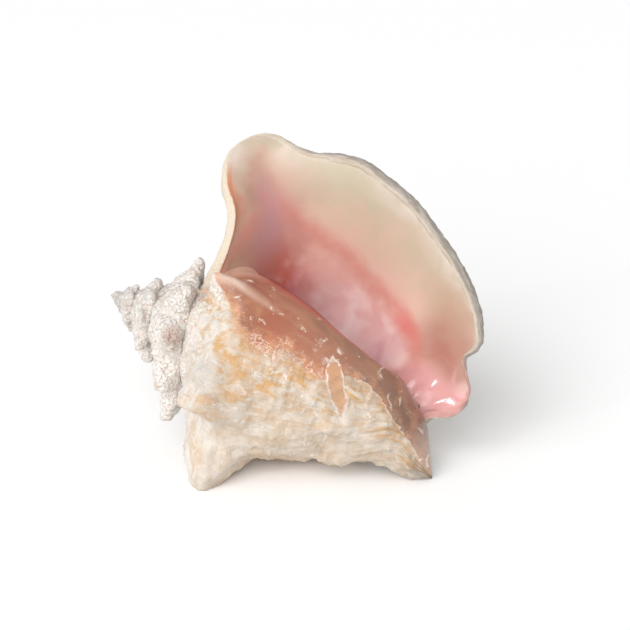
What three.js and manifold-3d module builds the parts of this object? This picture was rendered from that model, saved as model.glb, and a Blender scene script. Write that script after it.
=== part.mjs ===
// Queen conch shell, one closed solid. Millimetres, +Z up, resting on its largest spine, the end of
// its canal and a spine of its back, each worn flat where it touches.
//
// The shell grows in its own frame: u runs along the axis of the coil from the top of the spire to
// the canal, n points to the side where the aperture opens, t to its front. A growth angle counts
// the degrees of coiling: it is 0 where the last turn passes the direction n, and 360 less one turn
// earlier. A column q runs down a turn: 0 at the suture above, SHOULDER_Q at the shoulder, SEAM_Q
// where the next turn covers it, JOIN_Q where the aperture ends and 1 at the tip of the canal.

import * as THREE from 'three';
import { mergeVertices } from 'three/addons/utils/BufferGeometryUtils.js';
import Module from 'manifold-3d';

const { clamp, degToRad, lerp, smoothstep } = THREE.MathUtils;
const TURN = 360;

// Coil
const LENGTH = 221.4;
const WHORL_GROWTH = 1.69;
const SHOULDER_U = 125;
const SHOULDER_RADIUS = 77;
const SUTURE_U = 90;
const SUTURE_RADIUS = 45;
const RAMP_HOLLOW = 1.25;
const SHOULDER_ROUND = 16;
const SPIRE_TURNS = 5.3;

// Body below the shoulder: its radius from shoulder to tip, half a turn before the aperture, and how
// strongly each place keeps growing with the coil
const BODY_RADII = [58.8, 58, 55.6, 51.8, 46, 39.6, 33.2, 27, 20.8, 14.6, 0];
const BODY_GROWTH = [1, 1.05, 1.1, 1.1, 1.1, 0.95, 0.7, 0.35, 0.05, 0, 0];
const BODY_ANGLE = -185;

// Canal: the lower end swings back from the axis, twists, and is the same on every turn at its end
const BEND_START = 150;
const BEND_BACK = 28;
const BEND_LEFT = 10;
const TWIST = 50;
const CANAL_START = 165;

// Last turn: it opens into the lip, and its suture climbs the turn before
const LIP_START = -61;
const LIP_END = 35;
const CLIMB_START = -110;
const CLIMB_END = 25;
const CLIMB_TOP = 57;
const CLIMB_OVER = 53;
const OVERLAP = 7;

// Columns
const SHOULDER_Q = 0.3;
const SEAM_Q = 0.44;
const JOIN_Q = 0.93;
const JOIN_U = 205;
const SPIRE_COLUMNS = [0, 0.15, SHOULDER_Q, 0.37, SEAM_Q];
const TURN_COLUMNS = [0, 0.06, 0.12, 0.18, 0.24, SHOULDER_Q, 0.37, SEAM_Q];
const LIP_COLUMNS = [0, 0.03, 0.06, 0.09, 0.12, 0.15, 0.18, 0.205, 0.23, 0.25, 0.27, 0.285, SHOULDER_Q,
  0.32, 0.34, 0.365, 0.39, 0.415, SEAM_Q];
const BODY_COLUMNS = 18;
const LIP_BODY_COLUMNS = 20;
const TIP_COLUMNS = 3;
const THROAT_COLUMNS = 16;

// Rows
const ROWS_PER_TURN = 60;
const STEP = TURN / ROWS_PER_TURN;
const LIP_ROWS = Math.round((LIP_END - LIP_START) / STEP);
const ROWS = Math.round(SPIRE_TURNS * ROWS_PER_TURN);

// Edge of the lip: round the posterior lobe, down the long outer side, the notch, the front lobe
const LIP_EDGE = [
  [55, 36.5, 38], [58, 57, 36], [55.5, 73, 28], [46, 85, 20], [41, 100, 10], [44, 112, 2], [52, 121, -4],
  [62, 124, -4], [72, 123, 0], [84, 122, 4], [103, 127.5, 8], [119, 129, 10], [137, 124.5, 12],
  [155, 118, 12], [172, 108, 12], [191, 95, 10], [206, 81, 7], [215, 69, 4], [219.5, 59.5, 2],
  [219.5, 52, 0], [214.5, 45, -4], [217, 37, -8], [223, 29, -8], [224, 19, -8], [220.5, 11.5, -10],
  [213, 7, -11], [207, 4, -11],
];
// Share of the edge that each column reaches, and how far the sheet turns to the front there
const EDGE_SHARE = [[0, 0], [0.3, 0.37], [SEAM_Q, 0.48], [0.72, 0.74], [0.86, 0.9], [JOIN_Q, 1]];
const EDGE_FRONT = [[0, 0.8], [0.1, 0.8], [0.18, 0.3], [0.25, -0.5], [0.32, -0.5], [0.4, 0.2], [0.5, 0.55],
  [0.7, 0.6], [0.8, 0.4], [0.86, 0], [0.92, -0.3], [1, 0]];
const LIP_THICKNESS = [[0, 4], [0.1, 5], [0.25, 4.5], [0.35, 5.5], [0.5, 7.5], [0.75, 7], [0.84, 4],
  [JOIN_Q, 0.8]];
const LIP_SMOOTHING = 0.06;
const EDGE_ROUND = 1.6;

// Throat
const THROAT_DEPTH = 175;
const THROAT_ROWS = 14;
const PARIETAL_WALL = 7;
const POSTERIOR_CANAL = 16;
const FOOT_RISE = 24;
const FOOT_SINK = 0.2;

// Spines on the shoulder: growth angle, height, lean towards the canal, half width in degrees,
// bluntness, reach up the ramp and down the body
const LARGEST_SPINE = [-192, 30.5, 2, 23, 1, 27, 27];
const BACK_SPINE = [-114, 17.5, -4, 23, 0.5, 18, 30];
const SPINES = [
  LARGEST_SPINE, BACK_SPINE,
  [-82, 12, -3, 15, 0.2, 18, 30], [-154, -2.5, -2, 20, 0.2, 18, 30], [-240, 24, -8, 22, 0.2, 20, 34],
  [-309, 10, -14, 14, 0.3, 16, 22], [-346, 14, 2, 21, 0.5, 13, 20], [-391, 15, 2, 22, 0.5, 13, 20],
  [-436, 16, 2, 22, 0.5, 13, 20], [-484, 18, 0, 22, 0.4, 13, 20], [-532, 24, 2, 21, 0.3, 12, 20],
  [-574, 17, 2, 21, 0.3, 12, 20], [-616, 15, 2, 21, 0.4, 12, 20], [-661, 15, 3, 22, 0.4, 10, 18],
];
const SPIRE_SPINE_START = -706;
const SPIRE_SPINE_STEP = 45;
const SPIRE_SPINE_SHARE = [[0.07, 0], [0.12, 0.25], [0.25, 0.45], [0.35, 0.6]];

// Low knobs on the body, and a dent above the table: growth angle, u, height, half width in degrees,
// half length
const KNOBS = [
  [-190, 166, 5.5, 12, 10], [-150, 170, 5, 12, 10], [-240, 160, 3, 12, 10], [-110, 172, 6, 12, 10],
  [-146, 130, -2.4, 24, 26],
];

// Pose on the table: the axis slopes down to the canal, turns to the front and the shell rolls back
const AXIS_SLOPE = 22;
const AXIS_TURN = 8;
const ROLL_BACK = 66;
const TABLE_DROP = 91;

// Value at x of a table of [x, value] pairs, straight between them
function between(table, x) {
  const next = table.findIndex(([at]) => at >= x);
  if (next === 0) return table[0][1];
  if (next < 0) return table[table.length - 1][1];
  const [[x0, y0], [x1, y1]] = [table[next - 1], table[next]];
  return lerp(y0, y1, (x - x0) / (x1 - x0));
}

// Smooth curve through values at even steps, x from 0 to 1
function through(values, x) {
  const last = values.length - 1;
  const i = Math.min(Math.floor(x * last), last - 1);
  const w = x * last - i;
  const [a, b] = [values[i], values[i + 1]];
  const before = i > 0 ? values[i - 1] : 2 * a - b;
  const after = i < last - 1 ? values[i + 2] : 2 * b - a;
  const bow = (2 * before - 5 * a + 4 * b - after) * w ** 2 + (3 * a - before - 3 * b + after) * w ** 3;
  return a + ((b - before) * w + bow) / 2;
}

function growth(angle) {
  return WHORL_GROWTH ** (angle / TURN);
}

// Place along the axis of the suture above a turn; it climbs the turn before near the lip
function sutureU(angle) {
  const regular = SUTURE_U * growth(angle);
  const climbing = smoothstep(angle, CLIMB_START, CLIMB_END) * (1 - smoothstep(angle, LIP_END, CLIMB_OVER));
  return lerp(regular, CLIMB_TOP, climbing);
}

// Share of a place in the canal, from 0 where it starts to 1 where the aperture ends
function inCanal(u) {
  return smoothstep(u, CANAL_START, JOIN_U);
}

function taper(angle, u) {
  const shoulder = SHOULDER_U * growth(angle);
  const x = clamp((u - shoulder) / (LENGTH - shoulder), 0, 1);
  const evenly = BODY_GROWTH.map((value, i) => [i / (BODY_GROWTH.length - 1), value]);
  return through(BODY_RADII, x) * growth(angle - BODY_ANGLE) ** between(evenly, x);
}

function bodyRadius(angle, u) {
  return lerp(taper(angle, u), taper(BODY_ANGLE, u), inCanal(u));
}

// Radius of a turn without its spines: a ramp out to the rounded shoulder, then the tapering body
function plainRadius(angle, u) {
  const size = growth(angle);
  const x = (u - SUTURE_U * size) / ((SHOULDER_U - SUTURE_U) * size);
  const rise = x > 0 ? x ** RAMP_HOLLOW : 0.6 * x;
  const ramp = lerp(SUTURE_RADIUS, SHOULDER_RADIUS, rise) * size;
  const body = bodyRadius(angle, u);
  const round = Math.min(18 * size, SHOULDER_ROUND);
  const near = Math.max(round - Math.abs(ramp - body), 0) / round;
  return Math.min(ramp, body) - near ** 2 * round / 4;
}

// Radius where the climbing suture lays the last turn over the one before
function coveringRadius(angle, u) {
  const plain = plainRadius(angle, u);
  const climbed = clamp((SUTURE_U * growth(angle) - sutureU(angle)) / 8, 0, 1);
  if (climbed === 0 || angle > LIP_END + 1) return plain;
  const wall = OVERLAP * Math.tanh(Math.max(u - sutureU(angle), 0) / OVERLAP) * (1 - inCanal(u));
  return lerp(plain, Math.max(plain, plainRadius(angle - TURN, u) + wall), climbed);
}

function spireSpines() {
  const spines = [];
  for (let angle = SPIRE_SPINE_START; growth(angle) > SPIRE_SPINE_SHARE[0][0]; angle -= SPIRE_SPINE_STEP) {
    const size = growth(angle);
    const height = SHOULDER_RADIUS * size * between(SPIRE_SPINE_SHARE, size);
    spines.push([angle, height, 10 * size, 22, 0.4, 22 * size, 36 * size]);
  }
  return spines;
}

const ALL_SPINES = [...SPINES, ...spireSpines()];

// Share of a spine's height at x, from 0 at its middle to 1 at its foot
function spineShare(x, bluntness) {
  if (x >= 1) return 0;
  const pointed = (1 - x) ** 1.6 * (1 + 0.6 * x);
  const stump = (1 - x ** 2.4) ** 2.2;
  return lerp(pointed, stump, bluntness);
}

// How far the spines and knobs raise the wall at a place, and shift it along the axis
function relief(angle, u) {
  const size = growth(angle);
  const below = u - SHOULDER_U * size;
  const fold = clamp(below / (60 * size), 0, 1);
  const ridge = below > 0 ? 0.16 * Math.exp(-2.2 * fold) * smoothstep(fold, 0, 0.3) : 0;
  let [height, shift] = [0, 0];
  for (const [at, tall, lean, width, bluntness, up, down] of ALL_SPINES) {
    const x = Math.abs(angle - at) / width;
    if (x >= 1) continue;
    const share = spineShare(x, bluntness) * spineShare(Math.abs(below) / (below < 0 ? up : down), bluntness);
    height += tall * (share + (1 - x ** 2) ** 2 * ridge);
    shift += lean * share;
  }
  const uncovered = angle < LIP_END - TURN - 0.1 ? clamp((sutureU(angle + TURN) - u) / (9 * size), 0, 1) : 1;
  const knobs = KNOBS.map(([at, atU, tall, width, long]) =>
    tall * Math.exp(-1.3 * (((angle - at) / width) ** 2 + ((u - atU) / long) ** 2)));
  return [height * uncovered + knobs.reduce((a, b) => a + b), shift * uncovered];
}

// Point at a radius round the bent and twisted axis
function place(angle, u, radius, shift = 0) {
  const bend = clamp((u - BEND_START) / (LENGTH - BEND_START), 0, 1);
  const turn = degToRad(angle - TWIST * inCanal(u));
  return new THREE.Vector3(
    u + shift,
    radius * Math.cos(turn) - BEND_BACK * bend ** 2.2,
    radius * Math.sin(turn) - BEND_LEFT * bend ** 2,
  );
}

// Place along the axis of a column
function columnU(angle, q) {
  const top = sutureU(angle);
  const seam = sutureU(angle + TURN);
  const shoulder = Math.min(SHOULDER_U * growth(angle), lerp(top, seam, 0.62));
  return between([[0, top], [SHOULDER_Q, shoulder], [SEAM_Q, seam], [JOIN_Q, JOIN_U], [1, LENGTH]], q);
}

function bodyPoint(angle, q, plain = false) {
  const u = columnU(angle, q);
  const [height, shift] = plain ? [0, 0] : relief(angle, u);
  return place(angle, u, coveringRadius(angle, u) + height, shift);
}

// The aperture ends where the lip's edge joins the columella
const join = place(LIP_END - TURN, JOIN_U, plainRadius(LIP_END - TURN, JOIN_U));
const lipEdge = new THREE.CatmullRomCurve3(
  [...LIP_EDGE.map((point) => new THREE.Vector3(...point)), join], false, 'catmullrom', 0.5);
lipEdge.arcLengthDivisions = 600;

// Direction in which the sheet of the lip runs out over its edge
function edgeDirection(share) {
  const along = lipEdge.getTangentAt(share);
  const out = new THREE.Vector3(-along.y, along.x, 0).normalize();
  out.z = between(EDGE_FRONT, share);
  return out.normalize();
}

// Curve that a column of the lip follows from the body out to the edge
function lipColumn(q) {
  const start = bodyPoint(LIP_START, q);
  const onwards = start.clone().sub(bodyPoint(LIP_START - 2, q, true)).normalize();
  const share = between(EDGE_SHARE, q);
  const end = lipEdge.getPointAt(share);
  const span = start.distanceTo(end);
  const leaving = start.clone().addScaledVector(onwards, 0.42 * span);
  const arriving = end.clone().addScaledVector(edgeDirection(share), -0.3 * span);
  return new THREE.CubicBezierCurve3(start, leaving, arriving, end);
}

// Columns of the lip averaged over their neighbours, so that the shoulder's ridge fades out
function softLip(x, q) {
  const blur = LIP_SMOOTHING * Math.sin(Math.PI * x);
  const [left, right] = [clamp(q - blur, 0, JOIN_Q), clamp(q + blur, 0, JOIN_Q)];
  const sides = lipColumn(left).getPoint(x).add(lipColumn(right).getPoint(x));
  return lipColumn(q).getPoint(x).multiplyScalar(2).add(sides).divideScalar(4);
}

// Point of the outside of the lip, x from 0 on the body to 1 at the edge
function lipPoint(x, q) {
  const angle = lerp(LIP_START, LIP_END, x);
  if (q >= JOIN_Q) return bodyPoint(angle, q, true);
  const point = softLip(x, q);
  const top = sutureU(angle);
  const suture = place(angle, top, plainRadius(angle - TURN, top));
  point.addScaledVector(suture.sub(softLip(x, 0)), clamp(1 - q / 0.16, 0, 1) ** 1.5);
  const tip = bodyPoint(angle, JOIN_Q, true);
  return point.addScaledVector(tip.sub(softLip(x, JOIN_Q)), clamp(1 - (JOIN_Q - q) / 0.1, 0, 1) ** 2);
}

function outside(angle, q, plain = false) {
  if (angle <= LIP_START) return bodyPoint(angle, q, plain);
  return lipPoint((angle - LIP_START) / (LIP_END - LIP_START), q);
}

// Outward normal of the plain outside, taken over a patch
function outward(angle, q) {
  const [reach, side] = [3.5, 0.05];
  const middle = Math.min(angle, LIP_END - reach);
  const onwards = outside(middle + reach, q, true).sub(outside(middle - reach, q, true));
  const [above, below] = [clamp(q - side, 0, JOIN_Q), clamp(q + side, 0, JOIN_Q)];
  const down = outside(middle, below, true).sub(outside(middle, above, true));
  return onwards.cross(down).normalize();
}

// Surface that is woven row by row
const points = [];
const triangles = [];

function addPoint(point) {
  return points.push(point) - 1;
}

function addTriangle(a, b, c) {
  if (a !== b && b !== c && a !== c) triangles.push(a, b, c);
}

// Joins two rows of points, always over the shorter diagonal
function weave(row, next) {
  let [i, k] = [0, 0];
  while (i < row.length - 1 || k < next.length - 1) {
    const canStep = i < row.length - 1;
    const canStepNext = k < next.length - 1;
    const diagonal = canStep ? points[row[i + 1]].distanceTo(points[next[k]]) : Infinity;
    const nextDiagonal = canStepNext ? points[row[i]].distanceTo(points[next[k + 1]]) : Infinity;
    if (diagonal < nextDiagonal) {
      addTriangle(row[i], next[k], row[i + 1]);
      i += 1;
    } else {
      addTriangle(row[i], next[k], next[k + 1]);
      k += 1;
    }
  }
}

function steps(from, to, count) {
  return Array.from({ length: count }, (_, i) => lerp(from, to, (i + 1) / count));
}

// Columns of a row, counted back from the lip's edge
function columnsOf(back) {
  const lip = back <= LIP_ROWS + 1;
  const band = lip ? LIP_COLUMNS : back <= 2 * ROWS_PER_TURN - LIP_ROWS ? TURN_COLUMNS : SPIRE_COLUMNS;
  if (back > ROWS_PER_TURN) return band;
  const body = steps(SEAM_Q, JOIN_Q, lip ? LIP_BODY_COLUMNS : BODY_COLUMNS);
  return [...band, ...body, ...steps(JOIN_Q, 1, TIP_COLUMNS)];
}

// Outside from the lip's edge back to the top of the spire. A turn ends where the next one begins,
// and past the aperture the last turn closes on itself. Gives each row's columns and points.
function weaveOutside() {
  const rows = [];
  const tip = addPoint(place(0, LENGTH, 0));
  for (let back = 0; back <= ROWS; back += 1) {
    const angle = LIP_END - back * STEP;
    const columns = columnsOf(back);
    const firstRow = rows[0];
    const newest = rows[back - ROWS_PER_TURN];
    const ids = columns.map((q, i) => {
      if (q === 1) return tip;
      if (newest && q === SEAM_Q) return newest.ids[0];
      if (back === ROWS_PER_TURN && q >= JOIN_Q) return firstRow.ids[firstRow.ids.length - columns.length + i];
      return addPoint(outside(angle, q));
    });
    rows.push({ columns, ids });
  }
  for (let back = ROWS; back > 0; back -= 1) {
    const count = back > ROWS_PER_TURN ? rows[back - 1].columns.indexOf(SEAM_Q) + 1 : Infinity;
    weave(rows[back].ids, rows[back - 1].ids.slice(0, count));
  }
  const oldest = rows[ROWS].ids;
  const firstTurn = rows.slice(ROWS - ROWS_PER_TURN).map((row) => row.ids[0]).reverse();
  const oldestAngle = LIP_END - ROWS * STEP;
  const apex = addPoint(place(oldestAngle, SUTURE_U * growth(oldestAngle) - 2, 0));
  fan(apex, [...firstTurn, ...oldest.slice(1, -1).reverse()]);
  return rows;
}

function fan(centre, ring) {
  ring.forEach((id, i) => addTriangle(centre, ring[(i + 1) % ring.length], id));
}

// Loops of the aperture: two round the edge, then one for each row of the lip, then the throat.
// back counts degrees behind the edge, share is how much of the lip's thickness is reached.
function apertureLoops() {
  const depth = LIP_END - LIP_START;
  const rim = [{ back: 0, share: 0.55, push: EDGE_ROUND }, { back: 0, share: 1, push: 0 }];
  const lip = steps(0, depth, LIP_ROWS).map((back) => ({ back, share: 1, push: 0 }));
  const throat = steps(depth, depth + THROAT_DEPTH, THROAT_ROWS).map((back) => ({ back, share: 1, push: 0 }));
  return [...rim, ...lip, ...throat];
}

// One loop: the inner face of the lip or the last turn, and the wall of the turn before across from it
function loopPoints({ back, share, push }, lipColumns, wallColumns) {
  const depth = LIP_END - LIP_START;
  const angle = LIP_END - back;
  const inLip = Math.min(back / depth, 1);
  const inThroat = Math.max(back - depth, 0) / THROAT_DEPTH;
  const narrowing = 1 - 0.17 * smoothstep(inLip, 0, 1) - 0.1 * inThroat;
  const lip = lipColumns.map((q) => {
    const thick = between(LIP_THICKNESS, q);
    const point = outside(angle, q * narrowing, true);
    point.addScaledVector(outward(angle, q * narrowing), -thick * share);
    return point.addScaledVector(edgeDirection(between(EDGE_SHARE, q * narrowing)), push * thick / 7);
  });
  const top = sutureU(angle) + PARIETAL_WALL * share + POSTERIOR_CANAL * inLip - 6 * inThroat;
  const bottom = JOIN_U - 3 * share - FOOT_RISE * (inLip + inThroat / 2);
  const wall = wallColumns.map((q) => {
    const down = (q - SEAM_Q) / (JOIN_Q - SEAM_Q);
    const behind = 2 * share + back * (1 - 0.45 * smoothstep(down, 0, 0.4) * (1 - 0.8 * inThroat));
    const u = lerp(top, bottom, down);
    const sunk = FOOT_SINK * smoothstep(inLip, 0, 0.5) * clamp(1 - (JOIN_Q - q) / 0.3, 0, 1);
    return place(LIP_END - TURN - behind, u, plainRadius(LIP_END - TURN - behind, u) * (1 - sunk));
  });
  meet(lip, lipColumns, wall);
  if (inThroat > 0) narrow([...lip, ...wall], 0.35 * inThroat ** 3);
  return { lip, wall };
}

// Brings the lip's side of a loop to the wall's at both ends
function meet(lip, lipColumns, wall) {
  const top = wall[0].clone().sub(lip[0]);
  const foot = wall[wall.length - 1].clone().sub(lip[lip.length - 1]);
  lip.forEach((point, i) => {
    point.addScaledVector(top, clamp(1 - lipColumns[i] / 0.2, 0, 1) ** 1.5);
    point.addScaledVector(foot, clamp(1 - (JOIN_Q - lipColumns[i]) / 0.12, 0, 1) ** 1.5);
  });
}

function narrow(loop, share) {
  const centre = loop.reduce((sum, p) => sum.add(p), new THREE.Vector3()).divideScalar(loop.length);
  loop.forEach((p) => p.lerp(centre, share));
}

function weaveAperture(rows) {
  const isLip = (q) => q <= JOIN_Q;
  const isWall = (q) => q >= SEAM_Q && q <= JOIN_Q;
  const wallRow = rows[ROWS_PER_TURN];
  let lipIds = rows[0].ids.filter((_, i) => isLip(rows[0].columns[i]));
  let wallIds = wallRow.ids.filter((_, i) => isWall(wallRow.columns[i]));
  for (const loop of apertureLoops()) {
    const throat = loop.back > LIP_END - LIP_START;
    const lipColumns = throat ? [0, ...steps(0, JOIN_Q, THROAT_COLUMNS)] : rows[0].columns.filter(isLip);
    const wallColumns = throat
      ? [SEAM_Q, ...steps(SEAM_Q, JOIN_Q, THROAT_COLUMNS / 2)]
      : wallRow.columns.filter(isWall);
    const { lip, wall } = loopPoints(loop, lipColumns, wallColumns);
    const nextLip = lip.map(addPoint);
    const nextWall = [nextLip[0], ...wall.slice(1, -1).map(addPoint), nextLip[nextLip.length - 1]];
    weave(lipIds, nextLip);
    weave(nextWall, wallIds);
    [lipIds, wallIds] = [nextLip, nextWall];
  }
  const end = [...lipIds, ...wallIds.slice(1, -1).reverse()];
  const centre = end.reduce((sum, id) => sum.add(points[id]), new THREE.Vector3()).divideScalar(end.length);
  fan(addPoint(centre), end);
}

// Turns the shell's own frame to the pose in which it rests
function restingPose() {
  const slope = degToRad(AXIS_SLOPE);
  const turn = degToRad(AXIS_TURN);
  const axis = new THREE.Vector3(
    Math.cos(slope) * Math.cos(turn), -Math.sin(slope) * Math.cos(turn), Math.sin(turn));
  const side = new THREE.Vector3(Math.sin(slope), Math.cos(slope), 0);
  const pose = new THREE.Matrix4().makeBasis(axis, side, axis.clone().cross(side));
  return pose.premultiply(new THREE.Matrix4().makeRotationX(degToRad(ROLL_BACK)));
}

function solidOf(geometry, wasm) {
  geometry.deleteAttribute('normal');
  geometry.deleteAttribute('uv');
  const merged = mergeVertices(geometry, 1e-5);
  return new wasm.Manifold(new wasm.Mesh({
    numProp: 3,
    vertProperties: new Float32Array(merged.attributes.position.array),
    triVerts: new Uint32Array(merged.index.array),
  }));
}

function geometryOf(positions, indices) {
  const geometry = new THREE.BufferGeometry();
  geometry.setAttribute('position', new THREE.BufferAttribute(new Float32Array(positions), 3));
  geometry.setIndex(new THREE.BufferAttribute(new Uint32Array(indices), 1));
  return geometry;
}

// Wears the resting points down to the table, and stands the shell on its origin
function wearFlat(geometry, wasm) {
  const table = new THREE.BoxGeometry(2 * LENGTH, 2 * LENGTH, LENGTH);
  table.translate(LENGTH / 2, 0, -TABLE_DROP - LENGTH / 2);
  const worn = solidOf(geometry, wasm).subtract(solidOf(table, wasm)).getMesh();
  const result = geometryOf(worn.vertProperties, worn.triVerts);
  result.computeBoundingBox();
  const centre = result.boundingBox.getCenter(new THREE.Vector3());
  result.translate(-centre.x, -centre.y, TABLE_DROP);
  result.computeVertexNormals();
  return result;
}

const wasm = await Module();
wasm.setup();
weaveAperture(weaveOutside());
const grown = geometryOf(points.flatMap((point) => point.toArray()), triangles);
grown.applyMatrix4(restingPose());

const material = new THREE.MeshStandardMaterial({ color: '#e2c6ab', roughness: 0.5, metalness: 0 });
const shell = new THREE.Mesh(wearFlat(grown, wasm), material);
shell.name = 'shell';

const conch = new THREE.Group();
conch.add(shell);
export default conch;
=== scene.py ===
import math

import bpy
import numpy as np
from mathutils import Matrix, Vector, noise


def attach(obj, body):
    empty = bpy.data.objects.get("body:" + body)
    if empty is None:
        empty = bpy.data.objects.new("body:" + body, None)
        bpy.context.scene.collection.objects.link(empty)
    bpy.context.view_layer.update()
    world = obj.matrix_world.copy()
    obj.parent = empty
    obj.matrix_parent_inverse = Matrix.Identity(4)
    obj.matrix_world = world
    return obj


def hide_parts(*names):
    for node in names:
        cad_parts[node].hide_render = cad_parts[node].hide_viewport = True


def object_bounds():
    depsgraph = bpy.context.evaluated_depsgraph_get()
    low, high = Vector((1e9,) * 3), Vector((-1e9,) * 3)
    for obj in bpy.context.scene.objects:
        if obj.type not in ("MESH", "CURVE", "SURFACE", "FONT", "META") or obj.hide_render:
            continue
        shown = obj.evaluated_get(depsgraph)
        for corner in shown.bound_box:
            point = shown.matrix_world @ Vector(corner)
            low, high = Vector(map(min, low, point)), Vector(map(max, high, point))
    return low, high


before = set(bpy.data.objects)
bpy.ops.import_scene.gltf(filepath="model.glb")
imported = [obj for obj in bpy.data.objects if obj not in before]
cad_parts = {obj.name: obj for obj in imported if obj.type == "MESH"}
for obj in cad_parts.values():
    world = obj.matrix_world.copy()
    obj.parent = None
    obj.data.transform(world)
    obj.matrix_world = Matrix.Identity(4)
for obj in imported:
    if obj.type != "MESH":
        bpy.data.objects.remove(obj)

# Queen conch shell: the CAD solid grown again with a finer skin, and coloured by where on the
# shell each place lies. Shapes are worked out in millimetres, in the shell's own frame: u runs along
# the axis of the coil from the top of the spire to the canal, n points to the side where the aperture
# opens, t to its front. A growth angle counts the degrees of coiling, 0 where the last turn passes n.
# A column q runs down a turn: 0 at the suture above, SHOULDER_Q at the shoulder, SEAM_Q where the
# next turn covers it, JOIN_Q where the aperture ends and 1 at the tip of the canal.

cad_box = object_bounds()
TURN = 360

# Coil
LENGTH = 221.4
WHORL_GROWTH = 1.69
SHOULDER_U = 125
SHOULDER_RADIUS = 77
SUTURE_U = 90
SUTURE_RADIUS = 45
RAMP_HOLLOW = 1.25
SHOULDER_ROUND = 16
SPIRE_TURNS = 5.3

# Body below the shoulder: its radius from shoulder to tip, and how strongly each place grows
BODY_RADII = [58.8, 58, 55.6, 51.8, 46, 39.6, 33.2, 27, 20.8, 14.6, 0]
BODY_GROWTH = [1, 1.05, 1.1, 1.1, 1.1, 0.95, 0.7, 0.35, 0.05, 0, 0]
BODY_ANGLE = -185

# Canal
BEND_START = 150
BEND_BACK = 28
BEND_LEFT = 10
TWIST = 50
CANAL_START = 165

# Last turn: it opens into the lip, and its suture climbs the turn before
LIP_START = -61
LIP_END = 35
CLIMB_START = -110
CLIMB_END = 25
CLIMB_TOP = 57
CLIMB_OVER = 53
OVERLAP = 7

# Columns and rows
SHOULDER_Q = 0.3
SEAM_Q = 0.44
JOIN_Q = 0.93
JOIN_U = 205
# The shoulder sits no further down its turn than this share of the way to the next suture
SHOULDER_LIMIT = 0.62
BAND_COLUMNS = 44
SPIRE_COLUMNS = 16
BODY_COLUMNS = 92
TIP_COLUMNS = 10
THROAT_COLUMNS = 70
ROWS_PER_TURN = 210
STEP = TURN / ROWS_PER_TURN
LIP_ROWS = round((LIP_END - LIP_START) / STEP)
ROWS = round(SPIRE_TURNS * ROWS_PER_TURN)

# Edge of the lip, and how the sheet of the lip meets it
LIP_EDGE = [
    (55, 36.5, 38), (58, 57, 36), (55.5, 73, 28), (46, 85, 20), (41, 100, 10), (44, 112, 2),
    (52, 121, -4), (62, 124, -4), (72, 123, 0), (84, 122, 4), (103, 127.5, 8), (119, 129, 10),
    (137, 124.5, 12), (155, 118, 12), (172, 108, 12), (191, 95, 10), (206, 81, 7), (215, 69, 4),
    (219.5, 59.5, 2), (219.5, 52, 0), (214.5, 45, -4), (217, 37, -8), (223, 29, -8), (224, 19, -8),
    (220.5, 11.5, -10), (213, 7, -11), (207, 4, -11),
]
EDGE_SHARE = [(0, 0), (0.3, 0.37), (SEAM_Q, 0.48), (0.72, 0.74), (0.86, 0.9), (JOIN_Q, 1)]
EDGE_FRONT = [(0, 0.8), (0.1, 0.8), (0.18, 0.3), (0.25, -0.5), (0.32, -0.5), (0.4, 0.2), (0.5, 0.55),
              (0.7, 0.6), (0.8, 0.4), (0.86, 0), (0.92, -0.3), (1, 0)]
LIP_THICKNESS = [(0, 4), (0.1, 5), (0.25, 4.5), (0.35, 5.5), (0.5, 7.5), (0.75, 7), (0.84, 4), (JOIN_Q, 0.8)]
LIP_SMOOTHING = 0.06
# The edge bulges by EDGE_ROUND where it is EDGE_THICKNESS thick
EDGE_ROUND = 1.6
EDGE_THICKNESS = 7
# Shares of the span over which a column of the lip runs straight on, from the body and to the edge
LEAVING_SHARE = 0.42
ARRIVING_SHARE = 0.3
# Columns over which the lip bends to its suture and to the columella
SUTURE_BLEND = 0.16
COLUMELLA_BLEND = 0.1

# Throat: how far back it runs in degrees, its walls, and the shares by which it narrows and closes
THROAT_DEPTH = 175
THROAT_ROWS = 44
PARIETAL_WALL = 7
POSTERIOR_CANAL = 16
FOOT_RISE = 24
FOOT_SINK = 0.2
LIP_NARROWING = 0.17
THROAT_NARROWING = 0.1
THROAT_CLOSING = 0.35
WALL_LAG = 0.45

# Spines: growth angle, height, lean towards the canal, half width in degrees, bluntness, reach up
# the ramp and down the body
SPINES = [
    (-192, 30.5, 2, 23, 1, 27, 27), (-114, 17.5, -4, 23, 0.5, 18, 30), (-82, 12, -3, 15, 0.2, 18, 30),
    (-154, -2.5, -2, 20, 0.2, 18, 30), (-240, 24, -8, 22, 0.2, 20, 34), (-309, 10, -14, 14, 0.3, 16, 22),
    (-346, 14, 2, 21, 0.5, 13, 20), (-391, 15, 2, 22, 0.5, 13, 20), (-436, 16, 2, 22, 0.5, 13, 20),
    (-484, 18, 0, 22, 0.4, 13, 20), (-532, 24, 2, 21, 0.3, 12, 20), (-574, 17, 2, 21, 0.3, 12, 20),
    (-616, 15, 2, 21, 0.4, 12, 20), (-661, 15, 3, 22, 0.4, 10, 18),
]
SPIRE_SPINE_START = -706
SPIRE_SPINE_STEP = 45
SPIRE_SPINE_SHARE = [(0.07, 0), (0.12, 0.25), (0.25, 0.45), (0.35, 0.6)]
SPIRE_SPINE_LEAN = 10
SPIRE_SPINE_WIDTH = 22
SPIRE_SPINE_BLUNTNESS = 0.4
SPIRE_SPINE_REACH = (22, 36)
# A fold runs down from each spine, and the next turn covers what lies near its suture
FOLD_REACH = 60
FOLD_SHARE = 0.16
COVER_FADE = 9

# Low knobs on the body, and a dent above the table: growth angle, u, height, half width in degrees,
# half length
KNOBS = [
    (-190, 166, 5.5, 12, 10), (-150, 170, 5, 12, 10), (-240, 160, 3, 12, 10), (-110, 172, 6, 12, 10),
    (-146, 130, -2.4, 24, 26),
]

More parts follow.
